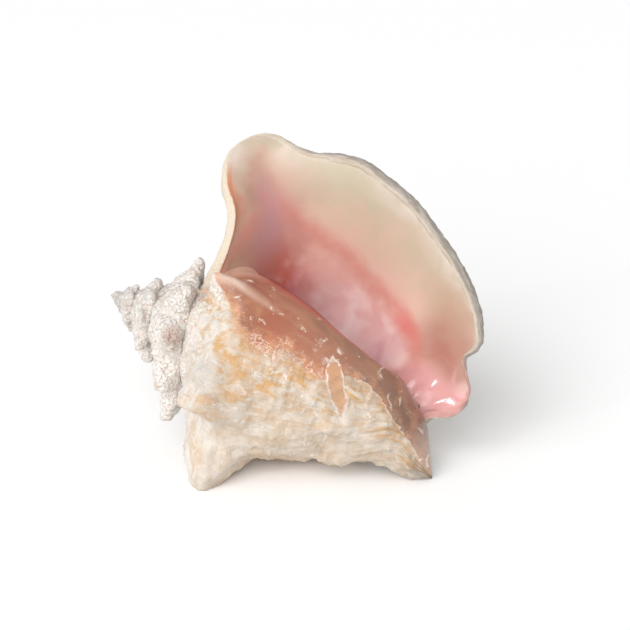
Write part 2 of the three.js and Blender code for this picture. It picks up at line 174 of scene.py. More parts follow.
# Pose on the table, and where the pose's own origin lies from the middle of the CAD box
AXIS_SLOPE = 22
AXIS_TURN = 8
ROLL_BACK = 66
TABLE_DROP = 91
BOX_CENTRE = (113.5, -27.59)

# Glaze on the body beside the aperture: column, and the growth angle where it ends
GLAZE_EDGE = [
    (0, -316), (0.3, -314), (0.31, -304), (0.325, -296), (0.37, -284), (0.43, -277), (0.48, -276),
    (0.54, -282), (0.58, -278), (0.65, -274), (0.69, -284), (0.73, -292), (0.765, -290), (0.8, -277),
    (0.84, -256), (0.89, -236), (0.93, -226), (0.96, -220), (1, -214),
]

# Yellow-orange stains on the body: growth angle and column, reach, strength
BODY_STAINS = [
    ((-272, 0.31), (18, 0.08), 0.8), ((-260, 0.43), (12, 0.07), 0.8), ((-264, 0.515), (10, 0.05), 0.8),
    ((-272, 0.17), (22, 0.1), 0.45), ((-270, 0.765), (12, 0.04), 0.7), ((-234, 0.3), (12, 0.1), 0.5),
    ((-262, 0.6), (9, 0.05), 0.5), ((-252, 0.8), (12, 0.04), 0.4),
]

# Pit in the crust of the spire: growth angle and column, then its reach
PIT = (-620, 0.36)
PIT_REACH = (14, 0.1)

# Where the body is tinted orange beneath, above the table, to bounce warm light onto the floor (painted warm
# bounce): growth angle and column, then its reach
WARM_BOUNCE = (-150, 0.5)
WARM_BOUNCE_REACH = (50, 0.4)

# Scar across the glaze: growth angle and column, then its reach
SCAR = (-273, 0.69)
SCAR_REACH = (36, 0.038)
SCAR_SLANT = 0.0013

# Soft patches of colour in the aperture: degrees behind the edge and column, reach, colour, strength
APERTURE_PATCHES = [
    ((36, 0.14), (28, 0.12), (186, 138, 146), 0.65),
    ((42, 0.25), (30, 0.11), (184, 124, 114), 0.8),
    ((22, 0.82), (60, 0.12), (170, 110, 98), 1),
    ((16, 0.74), (30, 0.12), (178, 138, 118), 0.75),
    ((9, 0.38), (16, 0.18), (184, 174, 150), 0.75),
    ((20, 0.3), (20, 0.07), (188, 154, 138), 0.5),
    ((14, 0.13), (16, 0.04), (168, 134, 110), 0.5),
    ((3, 0.08), (8, 0.07), (196, 132, 104), 0.8),
    ((58, 0.76), (16, 0.1), (220, 122, 118), 0.7),
]

# Salmon stripe across the aperture: degrees behind the edge at its column, and how far it bows
STRIPE_BACK = 60
STRIPE_COLUMN = 0.62
STRIPE_BOW = 140

# Thin orange line at the back end of the aperture's edge: degrees behind it
ORANGE_LINE_BACK = 1.6

# How far the rough rim reaches round onto the inner face: column, degrees behind the edge
RIM_REACH = [(0, 1.2), (0.2, 1.2), (0.27, 2.8), (0.4, 3.4), (0.75, 3), (0.84, 1.2), (1, 1.2)]
# Its colour's reach: wide round the middle column, narrow beyond the columns where it fades
RIM_MIDDLE = 0.53
RIM_FADE = (0.34, 0.26)
RIM_WIDE = 2.8
RIM_NARROW = 0.6

# Crust on the first knob of the shoulder: growth angle and column, then its reach
KNOB_CRUST = (-307, 0.27)
KNOB_CRUST_REACH = (14, 0.12)

# Relief of the skin in millimetres: sizes of its lumps, their heights, and how deep it all sits
GRAIN_SIZE, GRAIN_HEIGHT = 3.2, 0.9
LUMP_SIZE, LUMP_HEIGHT = 7.5, 1.7
CRUST_SINK = 0.2
FOLD_WIDTH, FOLD_HEIGHT = 9, 1.4
SPIRAL_FOLD_WIDTH, SPIRAL_FOLD_HEIGHT = 40, 0.5
SWELL_SIZE, SWELL_HEIGHT = 21, 1.3
BUMP_SIZE, BUMP_HEIGHT = 5, 0.5
CREASE_SIZE, CREASE_HEIGHT = 17, 1.1
WALL_SINK = 0.4
RIM_LUMP_SIZE, RIM_LUMP_HEIGHT = 4, 0.8
GLAZE_HEIGHT = 0.4
SMOOTH_SWELL_SIZE, SMOOTH_SWELL_HEIGHT = 26, 0.12
# Length of a degree of growth on the body's wall, 60 mm from the axis
MM_PER_DEGREE = math.radians(1) * 60

# How far from the glaze's edge its measure is kept, outside and inside, and the u it is taken at
GLAZE_LIMITS = (-60, 12)
GLAZE_U = 150

# Rounds of smoothing inside the aperture
INSIDE_ROUNDS = 40

# Facts kept with each point of the skin, for the material
FACTS = ("share", "back", "angle", "column", "side", "glaze", "crust", "height")

# How much patterns by growth angle and column are scaled, and the size of the crust's cells
PATCH_STRETCH = (0.11, 11)
STREAK_STRETCH = (0.8, 9)
SPIRAL_LINE_STRETCH = (0.126, 130)
GROWTH_LINE_STRETCH = (1.05, 13)
CELL_SIZE = 2.1

# Colours of the spire, sRGB from 0 to 255
CHALK_DULL = (238, 228, 218)
CHALK_BRIGHT = (252, 248, 243)
# Pale grey and pinkish brown for the hollows: partly the crust's own colour, partly painted shade
HOLLOW_SHADE_GREY = (214, 205, 196)
HOLLOW_PINK_SHADE = (220, 186, 168)
PIT_TONE = (196, 164, 148)
CHALK_SPECK = (216, 196, 180)

# Colours of the body: the ivory by its noise, then what lies over it
IVORY = [(0.3, (200, 182, 162)), (0.45, (212, 197, 180)), (0.6, (223, 212, 199)), (0.75, (230, 224, 216))]
STAIN_TONE = (213, 162, 98)
# Orange of the underside, laid on to warm the light it bounces onto the floor: painted warm bounce
WARM_BOUNCE_TONE = (206, 158, 108)
STREAK_TONE = (208, 176, 138)
WORN_TONE = (234, 230, 225)
FLAKE_TONE = (240, 236, 231)
SPECK_TONE = (184, 158, 132)
VEIL_TONE = (208, 164, 122)

# Colours of the glaze: along its columns, then what lies over it
GLAZE = [
    (0.34, (138, 95, 72)), (0.46, (152, 98, 74)), (0.56, (168, 101, 77)), (0.7, (170, 112, 90)),
    (0.8, (152, 112, 93)), (0.92, (134, 102, 86)), (0.99, (134, 98, 82)), (1.06, (184, 154, 136)),
]
SADDLE_TONE = (232, 200, 182)
GLAZE_TAN = (190, 140, 110)
GLAZE_ORANGE = (206, 146, 102)
FLECK_TONE = (230, 208, 192)
GLAZE_LINE_TONE = (236, 226, 214)
SCAR_TONE = (208, 160, 124)
SCAR_OUTLINE = (234, 220, 208)

# Colours of the aperture by degrees behind the edge, at its posterior end and on its wall. The posterior
# end's tan and mauve carry painted shade of its hollow channel.
APERTURE = [
    (0, (203, 190, 176)), (14, (190, 170, 149)), (32, (206, 178, 158)), (48, (220, 182, 166)),
    (62, (226, 175, 163)), (78, (232, 179, 175)), (98, (250, 206, 206)), (118, (222, 138, 126)),
    (140, (166, 78, 68)), (158, (110, 44, 38)),
]
POSTERIOR_END_SHADED = [
    (0, (210, 194, 180)), (12, (186, 146, 129)), (30, (187, 141, 131)), (46, (183, 130, 123)),
    (60, (182, 113, 102)), (76, (186, 90, 75)), (98, (164, 68, 54)), (130, (110, 44, 38)),
]
WALL = [(0, (200, 134, 114)), (20, (186, 100, 88)), (45, (150, 66, 58)), (85, (96, 36, 32))]
WALL_TOP = (222, 182, 162)
MARGIN_CLOUD = (184, 172, 146)
PALE_CLOUD = (254, 230, 226)
MAUVE_CLOUD = (216, 146, 156)
STRIPE_TONE = (210, 138, 124)
ORANGE_LINE_TONE = (198, 126, 90)
LOBE_TONE = (207, 150, 147)

# Colours of the lip's rim: pairs for its thin layers, beige and the grey of painted shade over the edge,
# chalk at its top, pink at its front lobe
RIM_BEIGE = ((196, 180, 162), (214, 202, 186))
RIM_SHADE_GREY = ((150, 142, 134), (184, 175, 166))
RIM_CHALK = (222, 208, 188)
RIM_PINK = (216, 164, 156)
CREASE_TONE = (146, 132, 116)

# Finish: rough chalk, glaze, the glossy front lobe of the lip, and light let into the shell
CHALK_ROUGHNESS = 0.8
GLAZE_ROUGHNESS = 0.34
LOBE_ROUGHNESS = 0.06
TRANSLUCENCE = {
    "Subsurface Weight": 0.12, "Subsurface Radius": (0.006, 0.003, 0.002), "Subsurface Scale": 1,
}

# Camera: the photograph's viewing angle
LENS = 85
SENSOR = 36
CAMERA_DISTANCE = 892
CAMERA_RISE = 24
AIM = (126, -5.37, -12.06)

# Lights: kind, name, place in metres, strength, width in degrees for a sun and metres for a lamp
LIGHTS = [
    ("SUN", "window", (-0.7, -0.5, 1.1), 0.65, 28), ("SUN", "fill", (-0.34, -0.94, 0.78), 1.9, 50),
    ("AREA", "lamp", (-0.96, -0.82, 0.53), 1.2, 0.06), ("AREA", "low_lamp", (-0.6, -1.24, 0.08), 0.8, 0.07),
]
SHELL_MIDDLE = (0, 0, 0.08)
ROOM_LIGHT = 0.54
FLOOR_HALF = 6
FLOOR_TONE = 0.96
FLOOR_ROUGHNESS = 0.9


def lerp(a, b, share):
    return a + (b - a) * share


def smoothstep(x, low, high):
    x = np.clip((x - low) / (high - low), 0, 1)
    return x * x * (3 - 2 * x)


def between(table, x):
    """Value at x of a table of (x, value) pairs, straight between them."""
    places, values = zip(*table)
    return np.interp(x, places, values)


def through(values, x):
    """Smooth curve through values at even steps, x from 0 to 1."""
    values = np.asarray(values, float)
    ends = [2 * values[0] - values[1], 2 * values[-1] - values[-2]]
    padded = np.concatenate([ends[:1], values, ends[1:]])
    last = len(values) - 1
    i = np.minimum((x * last).astype(int), last - 1)
    w = x * last - i
    if values.ndim > 1:
        w = w[..., None]
    before, a, b, after = (padded[i + k] for k in range(4))
    bow = (2 * before - 5 * a + 4 * b - after) * w ** 2 + (3 * a - before - 3 * b + after) * w ** 3
    return a + ((b - before) * w + bow) / 2


def unit(vectors):
    return vectors / np.linalg.norm(vectors, axis=-1, keepdims=True)


def growth(angle):
    """Size of the coil at a growth angle, as a share of its size at 0."""
    return WHORL_GROWTH ** (angle / TURN)


def suture_u(angle):
    """Place along the axis of the suture above a turn; it climbs the turn before near the lip."""
    climbing = smoothstep(angle, CLIMB_START, CLIMB_END) * (1 - smoothstep(angle, LIP_END, CLIMB_OVER))
    return lerp(SUTURE_U * growth(angle), CLIMB_TOP, climbing)


def in_canal(u):
    """0 above the canal, 1 at its end, where every turn is the same."""
    return smoothstep(u, CANAL_START, JOIN_U)


def taper(angle, u):
    """Radius of the body below the shoulder."""
    shoulder = SHOULDER_U * growth(angle)
    x = np.clip((u - shoulder) / (LENGTH - shoulder), 0, 1)
    power = np.interp(x, np.linspace(0, 1, len(BODY_GROWTH)), BODY_GROWTH)
    return through(BODY_RADII, x) * growth(angle - BODY_ANGLE) ** power


def body_radius(angle, u):
    return lerp(taper(angle, u), taper(BODY_ANGLE, u), in_canal(u))


def plain_radius(angle, u):
    """Radius of a turn without its spines: a ramp out to the rounded shoulder, then the body."""
    size = growth(angle)
    x = (u - SUTURE_U * size) / ((SHOULDER_U - SUTURE_U) * size)
    rise = np.where(x > 0, np.maximum(x, 0) ** RAMP_HOLLOW, 0.6 * x)
    ramp = lerp(SUTURE_RADIUS, SHOULDER_RADIUS, rise) * size
    body = body_radius(angle, u)
    soft = np.minimum(18 * size, SHOULDER_ROUND)
    near = np.maximum(soft - np.abs(ramp - body), 0) / soft
    return np.minimum(ramp, body) - near ** 2 * soft / 4


def covering_radius(angle, u):
    """Radius where the climbing suture lays the last turn over the one before."""
    plain = plain_radius(angle, u)
    climbed = np.clip((SUTURE_U * growth(angle) - suture_u(angle)) / 8, 0, 1) * (angle < LIP_END + 1)
    wall = OVERLAP * np.tanh(np.maximum(u - suture_u(angle), 0) / OVERLAP) * (1 - in_canal(u))
    return lerp(plain, np.maximum(plain, plain_radius(angle - TURN, u) + wall), climbed)


def spire_spines():
    """Small spines of the oldest turns, one every few degrees, that shrink with the turns."""
    spines = []
    angle = SPIRE_SPINE_START
    while growth(angle) > SPIRE_SPINE_SHARE[0][0]:
        size = growth(angle)
        height = SHOULDER_RADIUS * size * between(SPIRE_SPINE_SHARE, size)
        up, down = (reach * size for reach in SPIRE_SPINE_REACH)
        lean = SPIRE_SPINE_LEAN * size
        spines.append((angle, height, lean, SPIRE_SPINE_WIDTH, SPIRE_SPINE_BLUNTNESS, up, down))
        angle -= SPIRE_SPINE_STEP
    return spines


ALL_SPINES = SPINES + spire_spines()


def spine_share(x, bluntness):
    """Share of a spine's height at x, from 0 at its middle to 1 at its foot."""
    x = np.minimum(x, 1)
    return lerp((1 - x) ** 1.6 * (1 + 0.6 * x), (1 - x ** 2.4) ** 2.2, bluntness)


def relief(angle, u):
    """How far the spines and knobs raise the wall at a place, and shift it along the axis."""
    size = growth(angle)
    below = u - SHOULDER_U * size
    fold = np.clip(below / (FOLD_REACH * size), 0, 1)
    ridge = FOLD_SHARE * np.exp(-2.2 * fold) * smoothstep(fold, 0, 0.3)
    height = np.zeros_like(u)
    shift = np.zeros_like(u)
    for at, tall, lean, width, bluntness, up, down in ALL_SPINES:
        x = np.minimum(np.abs(angle - at) / width, 1)
        if np.all(x >= 1):
            continue
        reach = np.where(below < 0, up, down)
        share = spine_share(x, bluntness) * spine_share(np.abs(below) / reach, bluntness)
        height += tall * (share + (1 - x ** 2) ** 2 * ridge)
        shift += lean * share
    uncovered = np.clip((suture_u(angle + TURN) - u) / (COVER_FADE * size), 0, 1)
    uncovered = np.where(angle < LIP_END - TURN - 0.1, uncovered, 1)
    height *= uncovered
    for at, at_u, tall, width, long in KNOBS:
        height += tall * np.exp(-1.3 * (((angle - at) / width) ** 2 + ((u - at_u) / long) ** 2))
    return height, shift * uncovered


def place(angle, u, radius, shift=0):
    """Point at a radius round the bent and twisted axis."""
    bend = np.clip((u - BEND_START) / (LENGTH - BEND_START), 0, 1)
    turn = np.radians(angle - TWIST * in_canal(u))
    n = radius * np.cos(turn) - BEND_BACK * bend ** 2.2
    t = radius * np.sin(turn) - BEND_LEFT * bend ** 2
    return np.stack([u + shift, n, t], -1)


def column_u(angle, q):
    """Place along the axis of a column."""
    top = suture_u(angle)
    seam = suture_u(angle + TURN)
    shoulder = np.minimum(SHOULDER_U * growth(angle), lerp(top, seam, SHOULDER_LIMIT))
    columns = [0, SHOULDER_Q, SEAM_Q, JOIN_Q, 1]
    stops = [top, shoulder, seam, JOIN_U, LENGTH]
    u = top
    for i in range(4):
        u = u + (stops[i + 1] - stops[i]) * np.clip((q - columns[i]) / (columns[i + 1] - columns[i]), 0, 1)
    return u


def body_point(angle, q, plain=False):
    angle = np.broadcast_to(np.asarray(angle, float), np.shape(q))
    u = column_u(angle, q)
    height, shift = (0, 0) if plain else relief(angle, u)
    return place(angle, u, covering_radius(angle, u) + height, shift)


# The aperture ends where the lip's edge joins the columella
JOIN_ANGLE = LIP_END - TURN
JOIN = place(JOIN_ANGLE, JOIN_U, plain_radius(JOIN_ANGLE, JOIN_U))
EDGE_POINTS = np.vstack([LIP_EDGE, JOIN])
EDGE_FINE = np.linspace(0, 1, 601)
EDGE_LENGTHS = np.concatenate([[0], np.cumsum(np.linalg.norm(
    np.diff(through(EDGE_POINTS, EDGE_FINE), axis=0), axis=1))])


def edge_point(share, onwards=0):
    """Point of the lip's edge at a share of its length, or a little onwards along it."""
    x = np.interp(share, EDGE_LENGTHS / EDGE_LENGTHS[-1], EDGE_FINE)
    return through(EDGE_POINTS, np.clip(x + onwards, 0, 1))


def edge_direction(share):
    """Direction in which the sheet of the lip runs out over its edge."""
    along = edge_point(share, 0.002) - edge_point(share, -0.002)
    flat = unit(np.stack([-along[..., 1], along[..., 0], 0 * along[..., 0]], -1))
    flat[..., 2] = between(EDGE_FRONT, share)
    return unit(flat)


def lip_column(x, q):
    """Point at x of the curve that a column of the lip follows from the body to the edge."""
    start = body_point(LIP_START, q)
    onwards = unit(start - body_point(LIP_START - 2, q, plain=True))
    share = between(EDGE_SHARE, q)
    end = edge_point(share)
    span = np.linalg.norm(end - start, axis=-1, keepdims=True)
    leaving = start + LEAVING_SHARE * span * onwards
    arriving = end - ARRIVING_SHARE * span * edge_direction(share)
    x = x[..., None]
    y = 1 - x
    return y ** 3 * start + 3 * y * y * x * leaving + 3 * y * x * x * arriving + x ** 3 * end


def soft_lip(x, q):
    """Columns of the lip averaged over their neighbours, so that the shoulder's ridge fades out."""
    blur = LIP_SMOOTHING * np.sin(np.pi * x)
    sides = lip_column(x, np.clip(q - blur, 0, JOIN_Q)) + lip_column(x, np.clip(q + blur, 0, JOIN_Q))
    return (2 * lip_column(x, q) + sides) / 4


def lip_point(x, q):
    """Point of the outside of the lip, x from 0 on the body to 1 at the edge."""
    angle = lerp(LIP_START, LIP_END, x)
    inner = np.minimum(q, JOIN_Q)
    point = soft_lip(x, inner)
    top = suture_u(angle)
    suture = place(angle, top, plain_radius(angle - TURN, top))
    near_top = np.clip(1 - q / SUTURE_BLEND, 0, 1) ** 1.5
    point = point + (suture - soft_lip(x, 0 * q)) * near_top[..., None]
    tip = body_point(angle, np.full_like(q, JOIN_Q), plain=True)
    near_tip = np.clip(1 - (JOIN_Q - inner) / COLUMELLA_BLEND, 0, 1) ** 2
    point = point + (tip - soft_lip(x, np.full_like(q, JOIN_Q))) * near_tip[..., None]
    return np.where((q >= JOIN_Q)[..., None], body_point(angle, q, plain=True), point)


def outside(angle, q, plain=False):
    """Points of the outside of the shell for arrays of growth angles and columns."""
    angle, q = np.broadcast_arrays(np.asarray(angle, float), np.asarray(q, float))
    points = np.empty(q.shape + (3,))
    lip = angle > LIP_START
    if not lip.all():
        points[~lip] = body_point(angle[~lip], q[~lip], plain)
    if lip.any():
        points[lip] = lip_point((angle[lip] - LIP_START) / (LIP_END - LIP_START), q[lip])
    return points


def outward(angle, q):
    """Outward normal of the plain outside, taken over a patch."""
    reach, side = 3.5, 0.05
    middle = min(angle, LIP_END - reach)
    onwards = outside(middle + reach, q, plain=True) - outside(middle - reach, q, plain=True)
    down = (outside(middle, np.clip(q + side, 0, JOIN_Q), plain=True)
            - outside(middle, np.clip(q - side, 0, JOIN_Q), plain=True))
    return unit(np.cross(onwards, down))


class Surface:
    """A surface woven row by row, with the facts that its colours need at each point."""

    def __init__(self):
        self.points = []
        self.facts = []
        self.triangles = []

    def add(self, point, fact):
        self.points.append(point.tolist())
        self.facts.append(fact)
        return len(self.points) - 1

    def triangle(self, a, b, c):
        if a != b and b != c and a != c:
            self.triangles.append((a, b, c))

    def weave(self, row, following):
        """Joins two rows of points, always over the shorter diagonal."""
        points = self.points
        i = k = 0
        while i < len(row) - 1 or k < len(following) - 1:
            diagonal = other = math.inf
            if i < len(row) - 1:
                diagonal = math.dist(points[row[i + 1]], points[following[k]])
            if k < len(following) - 1:
                other = math.dist(points[row[i]], points[following[k + 1]])
            if diagonal < other:
                self.triangle(row[i], following[k], row[i + 1])
                i += 1
            else:
                self.triangle(row[i], following[k], following[k + 1])
                k += 1

    def fan(self, centre, ring):
        for i, here in enumerate(ring):
            self.triangle(centre, ring[(i + 1) % len(ring)], here)


def steps(low, high, count):
    return np.linspace(low, high, count + 1)[1:]


def columns_of(back):
    """Columns of a row, counted back from the lip's edge."""
    if back > 2 * ROWS_PER_TURN:
        return np.linspace(0, SEAM_Q, SPIRE_COLUMNS + 1)
    band = np.linspace(0, SEAM_Q, BAND_COLUMNS + 1)
    if back > ROWS_PER_TURN:
        return band
    return np.concatenate([band, steps(SEAM_Q, JOIN_Q, BODY_COLUMNS), steps(JOIN_Q, 1, TIP_COLUMNS)])


def weave_outside(surface):
    """Outside from the lip's edge back to the top of the spire. Gives each row's columns and points."""
    tip = surface.add(place(0, LENGTH, 0), (0, 0, BODY_ANGLE, 1, 0))
    rows = []
    for back in range(ROWS + 1):
        angle = LIP_END - back * STEP
        columns = columns_of(back)
        found = outside(np.full(len(columns), angle), columns)
        newest = rows[back - ROWS_PER_TURN][1] if back >= ROWS_PER_TURN else None
        ids = []
        for i, q in enumerate(columns):
            if q == 1:
                ids.append(tip)
            elif newest is not None and q == SEAM_Q:
                ids.append(newest[0])
            elif back == ROWS_PER_TURN and q >= JOIN_Q:
                ids.append(rows[0][1][i])
            else:
                ids.append(surface.add(found[i], (0, 0, angle, q, 0)))
        rows.append((columns, ids))
    for back in range(ROWS, 0, -1):
        newer_columns, newer = rows[back - 1]
        if back > ROWS_PER_TURN:
            newer = newer[:int(np.sum(newer_columns <= SEAM_Q))]
        surface.weave(rows[back][1], newer)
    oldest = rows[ROWS][1]
    first_turn = [ids[0] for _, ids in reversed(rows[ROWS - ROWS_PER_TURN:])]
    oldest_angle = LIP_END - ROWS * STEP
    top = place(oldest_angle, SUTURE_U * growth(oldest_angle) - 2, 0)
    apex = surface.add(top, (0, 0, oldest_angle, 0, 0))
    surface.fan(apex, first_turn + oldest[-2:0:-1])
    return rows


def aperture_loops():
    """Loops of the aperture: back from the edge in degrees, share of the lip's thickness, push out."""
    depth = LIP_END - LIP_START
    shares = (0.15, 0.35, 0.55, 0.75, 0.9)
    rim = [(0, share, EDGE_ROUND * math.sin(math.pi * share) ** 0.7) for share in shares]
    lip = [(back, 1, 0) for back in np.linspace(0, depth, LIP_ROWS + 1)]
    throat = [(back, 1, 0) for back in steps(depth, depth + THROAT_DEPTH, THROAT_ROWS)]
    return rim + lip + throat


def loop_points(back, share, push, lip_columns, wall_columns):
    """One loop: the inner face of the lip or the last turn, and the wall of the turn before."""
    depth = LIP_END - LIP_START
    angle = LIP_END - back
    in_lip = min(back / depth, 1)
    in_throat = max(back - depth, 0) / THROAT_DEPTH
    narrowing = 1 - LIP_NARROWING * smoothstep(in_lip, 0, 1) - THROAT_NARROWING * in_throat
    columns = lip_columns * narrowing
    thick = between(LIP_THICKNESS, lip_columns)[:, None]
    lip = outside(np.full(len(columns), angle), columns, plain=True)
    lip = lip - outward(angle, columns) * thick * share
    lip = lip + edge_direction(between(EDGE_SHARE, columns)) * push * thick / EDGE_THICKNESS
    top = suture_u(angle) + PARIETAL_WALL * share + POSTERIOR_CANAL * in_lip - 6 * in_throat
    bottom = JOIN_U - 3 * share - FOOT_RISE * (in_lip + in_throat / 2)
    down = (wall_columns - SEAM_Q) / (JOIN_Q - SEAM_Q)
    behind = 2 * share + back * (1 - WALL_LAG * smoothstep(down, 0, 0.4) * (1 - 0.8 * in_throat))
    u = lerp(top, bottom, down)
    sunk = FOOT_SINK * smoothstep(in_lip, 0, 0.5) * np.clip(1 - (JOIN_Q - wall_columns) / 0.3, 0, 1)
    wall_angle = LIP_END - TURN - behind
    wall = place(wall_angle, u, plain_radius(wall_angle, u) * (1 - sunk))
    near_top = np.clip(1 - lip_columns / 0.2, 0, 1) ** 1.5
    near_foot = np.clip(1 - (JOIN_Q - lip_columns) / 0.12, 0, 1) ** 1.5
    lip = lip + near_top[:, None] * (wall[0] - lip[0]) + near_foot[:, None] * (wall[-1] - lip[-1])
    if in_throat > 0:
        centre = (lip.sum(0) + wall.sum(0)) / (len(lip) + len(wall))
        closing = THROAT_CLOSING * in_throat ** 3
        lip = lerp(lip, centre, closing)
        wall = lerp(wall, centre, closing)
    return lip, wall


def part_of_row(row, low, high):
    """Columns of a row from low to high, and their points."""
    columns, ids = zip(*[(q, one) for q, one in zip(*row) if low <= q <= high])
    return np.array(columns), list(ids)


def weave_aperture(surface, rows):
    """Edge of the lip, its inner face and the throat, joined to the outside's rows."""
    depth = LIP_END - LIP_START
    lip_columns, lip_ids = part_of_row(rows[0], 0, JOIN_Q)
    wall_columns, wall_ids = part_of_row(rows[ROWS_PER_TURN], SEAM_Q, JOIN_Q)
    for back, share, push in aperture_loops():
        if back > depth:
            lip_columns = np.linspace(0, JOIN_Q, THROAT_COLUMNS + 1)
            wall_columns = np.linspace(SEAM_Q, JOIN_Q, THROAT_COLUMNS // 2 + 1)
        lip, wall = loop_points(back, share, push, lip_columns, wall_columns)
        angle = LIP_END - back
        next_lip = [surface.add(p, (share, back, angle, q, 1)) for p, q in zip(lip, lip_columns)]
        inner_wall = zip(wall[1:-1], wall_columns[1:-1])
        next_wall = [surface.add(p, (share, back, angle - TURN, q, 2)) for p, q in inner_wall]
        next_wall = [next_lip[0]] + next_wall + [next_lip[-1]]
        surface.weave(lip_ids, next_lip)
        surface.weave(next_wall, wall_ids)
        lip_ids, wall_ids = next_lip, next_wall
    end = lip_ids + wall_ids[-2:0:-1]
    centre = np.mean([surface.points[one] for one in end], axis=0)
    middle = surface.add(centre, (1, depth + THROAT_DEPTH, LIP_START - THROAT_DEPTH, 0.5, 1))
    surface.fan(middle, end)


def resting_pose():
    """Matrix from the shell's own frame to the pose in which it rests, in metres."""
    slope = math.radians(AXIS_SLOPE)
    turn = math.radians(AXIS_TURN)
    axis = Vector((math.cos(slope) * math.cos(turn), -math.sin(slope) * math.cos(turn), math.sin(turn)))
    side = Vector((math.sin(slope), math.cos(slope), 0))
    basis = Matrix((axis, side, axis.cross(side))).transposed().to_4x4()
    rolled = Matrix.Rotation(math.radians(ROLL_BACK), 4, "X") @ basis
    moved = Matrix.Translation((-BOX_CENTRE[0], -BOX_CENTRE[1], TABLE_DROP)) @ rolled
    return Matrix.Scale(0.001, 4) @ moved


def cloud(points, size, octaves=3):
    """Fractal noise of about -1 to 1, with lumps of a size in millimetres."""
    return np.array([noise.fractal(Vector(point), 0.7, 2.1, octaves) for point in points / size])


def grains(points, size):
    """Round grains of a size in millimetres: 1 in the middle of a grain, 0 between grains."""
    return np.array([1 - noise.voronoi(Vector(point))[0][0] for point in points / size])


def glaze_reach(facts):
    """How far in millimetres a place lies within the glaze; below 0 outside it."""
    _, _, angle, column, side = facts.T
    outermost, innermost = GLAZE_LIMITS
    edge = between(GLAZE_EDGE, column)
    reach = np.radians(edge - angle) * plain_radius(BODY_ANGLE, np.full(len(column), float(GLAZE_U)))
    on_last_turn = (angle >= LIP_END - TURN - 1) & (angle < LIP_START)
    reach = np.where(on_last_turn, np.clip(reach, outermost, innermost), outermost)
    return np.where(side > 1, innermost, reach)


def crust_share(points, facts):
    """1 on the crusted turns of the spire and the first knob, fading out on the last turn's ramp."""
    _, _, angle, column, side = facts.T
    older = 1 - smoothstep(angle, LIP_END - TURN - 14, LIP_END - TURN)
    ragged = column + 0.07 * cloud(points, 8)
    ramp = 1 - smoothstep(ragged, 0.04, 0.16)
    along = (angle - KNOB_CRUST[0]) / KNOB_CRUST_REACH[0]
    across = (ragged - KNOB_CRUST[1]) / KNOB_CRUST_REACH[1]
    knob = 1 - smoothstep(np.hypot(along, across), 0.5, 1)
    return np.maximum(older, 0.8 * np.maximum(ramp, knob) * (angle < LIP_START)) * (side < 1)


def crust_height(points):
    return GRAIN_HEIGHT * grains(points, GRAIN_SIZE) + LUMP_HEIGHT * cloud(points, LUMP_SIZE) - CRUST_SINK


def wall_height(points, facts):
    """Growth folds, spiral folds, swells, bumps and creases of the last turn's outside."""
    _, _, angle, column, _ = facts.T
    along = angle * MM_PER_DEGREE
    growth_place = np.stack([along / FOLD_WIDTH, column * 5, 0 * angle], -1)
    spiral_place = np.stack([along / SPIRAL_FOLD_WIDTH, column * 34, 0 * angle + 5], -1)
    height = FOLD_HEIGHT * cloud(growth_place, 1) + SPIRAL_FOLD_HEIGHT * cloud(spiral_place, 1)
    height += SWELL_HEIGHT * cloud(points, SWELL_SIZE) + BUMP_HEIGHT * cloud(points, BUMP_SIZE)
    creases = np.maximum(1 - 3 * np.abs(cloud(points + 40, CREASE_SIZE)), 0) ** 2
    return height + CREASE_HEIGHT * creases - WALL_SINK


def rim_height(points):
    """Rough lumps of the lip's edge, flattened along it."""
    return RIM_LUMP_HEIGHT * cloud(points * [1, 1, 1.6], RIM_LUMP_SIZE) - CRUST_SINK


def soften(points, triangles, share, rounds):
    """Draws each point towards its neighbours' middle, by its share, over some rounds."""
    edges = np.vstack([triangles[:, [0, 1]], triangles[:, [1, 2]], triangles[:, [2, 0]]])
    count = len(points)
    neighbours = np.bincount(edges[:, 0], minlength=count)
    for _ in range(rounds):
        sums = [np.bincount(edges[:, 0], points[edges[:, 1], axis], count) for axis in range(3)]
        middle = np.stack(sums, -1) / neighbours[:, None]
        points = points + (middle - points) * share[:, None]
    return points


def rough_rim(facts):
    """1 on the rough edge of the lip, which reaches a little round onto its inner face."""
    share, back, _, column, side = facts.T
    reach = between(RIM_REACH, column)
    return smoothstep(share, 0, 0.15) * (1 - smoothstep(back, reach - 1.2, reach)) * (side == 1)


def weather(points, normals, facts):
    """Raises crust, folds and scars out of the smooth skin. Gives the points and their heights."""
    crust = crust_share(points, facts)
    glazed = smoothstep(glaze_reach(facts), -5, 5)
    rim = rough_rim(facts)
    inner = smoothstep(facts[:, 0], 0.75, 1) * (1 - rim)
    plain = (1 - crust) * (1 - glazed) * (1 - inner) * (1 - rim)
    height = crust * crust_height(points) + plain * wall_height(points, facts) + rim * rim_height(points)
    height += GLAZE_HEIGHT * glazed * (1 - inner)
    height += SMOOTH_SWELL_HEIGHT * (1 - plain) * (1 - crust) * cloud(points, SMOOTH_SWELL_SIZE, 2)
    return points + normals * height[:, None], height


def shell_mesh():
    """The whole skin at rest on the table, with the facts that its material reads."""
    surface = Surface()
    rows = weave_outside(surface)
    weave_aperture(surface, rows)
    facts = np.array(surface.facts, float)
    inside = 0.5 * smoothstep(facts[:, 1], 1, 6)
    points = soften(np.array(surface.points), np.array(surface.triangles), inside, INSIDE_ROUNDS)
    mesh = bpy.data.meshes.new("shell_skin")
    mesh.from_pydata(points, [], surface.triangles)
    normals = np.empty(len(points) * 3)
    mesh.vertex_normals.foreach_get("vector", normals)
    points, height = weather(points, normals.reshape(-1, 3), facts)
    mesh.vertices.foreach_set("co", points.ravel())
    columns = np.column_stack([facts, glaze_reach(facts), crust_share(points, facts), height])
    for name, values in zip(FACTS, columns.T):
        attribute = mesh.attributes.new(name, "FLOAT", "POINT")
        attribute.data.foreach_set("value", np.ascontiguousarray(values, np.float32))
    mesh.transform(resting_pose())
    return mesh


